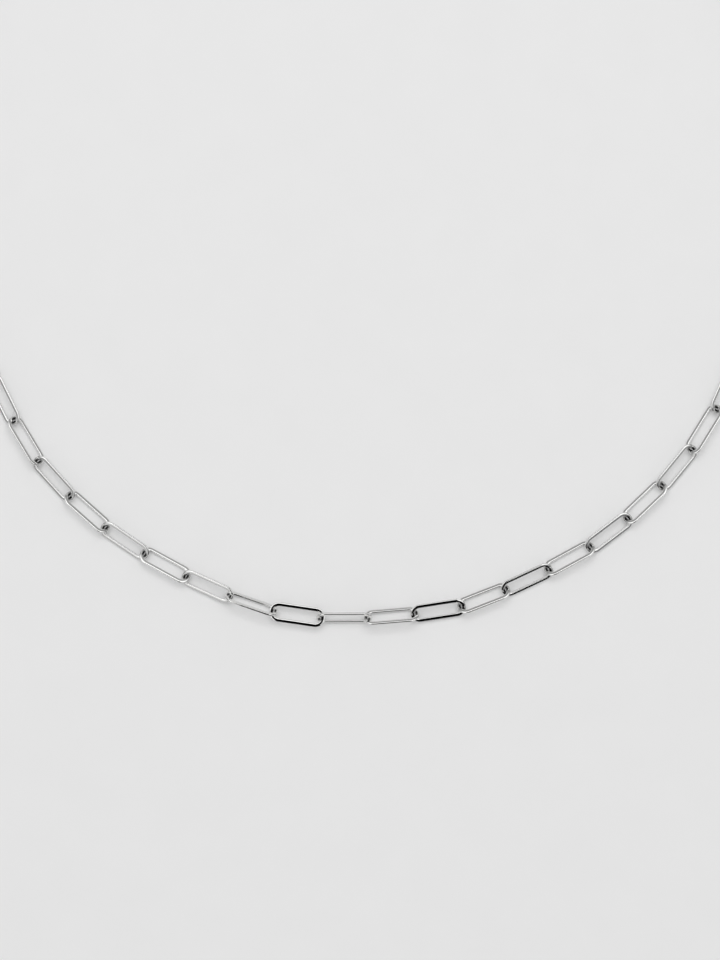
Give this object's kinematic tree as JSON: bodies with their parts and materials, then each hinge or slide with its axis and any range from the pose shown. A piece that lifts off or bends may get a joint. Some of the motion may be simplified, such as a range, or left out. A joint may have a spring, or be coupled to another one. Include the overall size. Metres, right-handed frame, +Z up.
{
  "type": "paperclip chain necklace",
  "caption": "Closed necklace chain of long oval flat-wire links lying in a round loop, fastened at the back by a small closed claw clasp between two jump rings.",
  "frame": {"origin": "middle of the loop on the surface that the necklace lies on", "axes": "+Z up from the surface; the front of the necklace, which the picture shows, is at -Y and the clasp at +Y; +X is to the right in the picture"},
  "size_m": [0.1443, 0.1466, 0.0031],
  "materials": {
    "chain_silver": "polished sterling silver, tumbled bright",
    "clasp_silver": "polished cast sterling silver",
    "ring_silver": "polished sterling silver wire"
  },
  "bodies": {
    "root": {"chain_left": "chain_silver", "chain_right": "chain_silver", "clasp": "clasp_silver", "clasp_ring": "ring_silver", "end_ring": "ring_silver"}
  },
  "joints": []
}
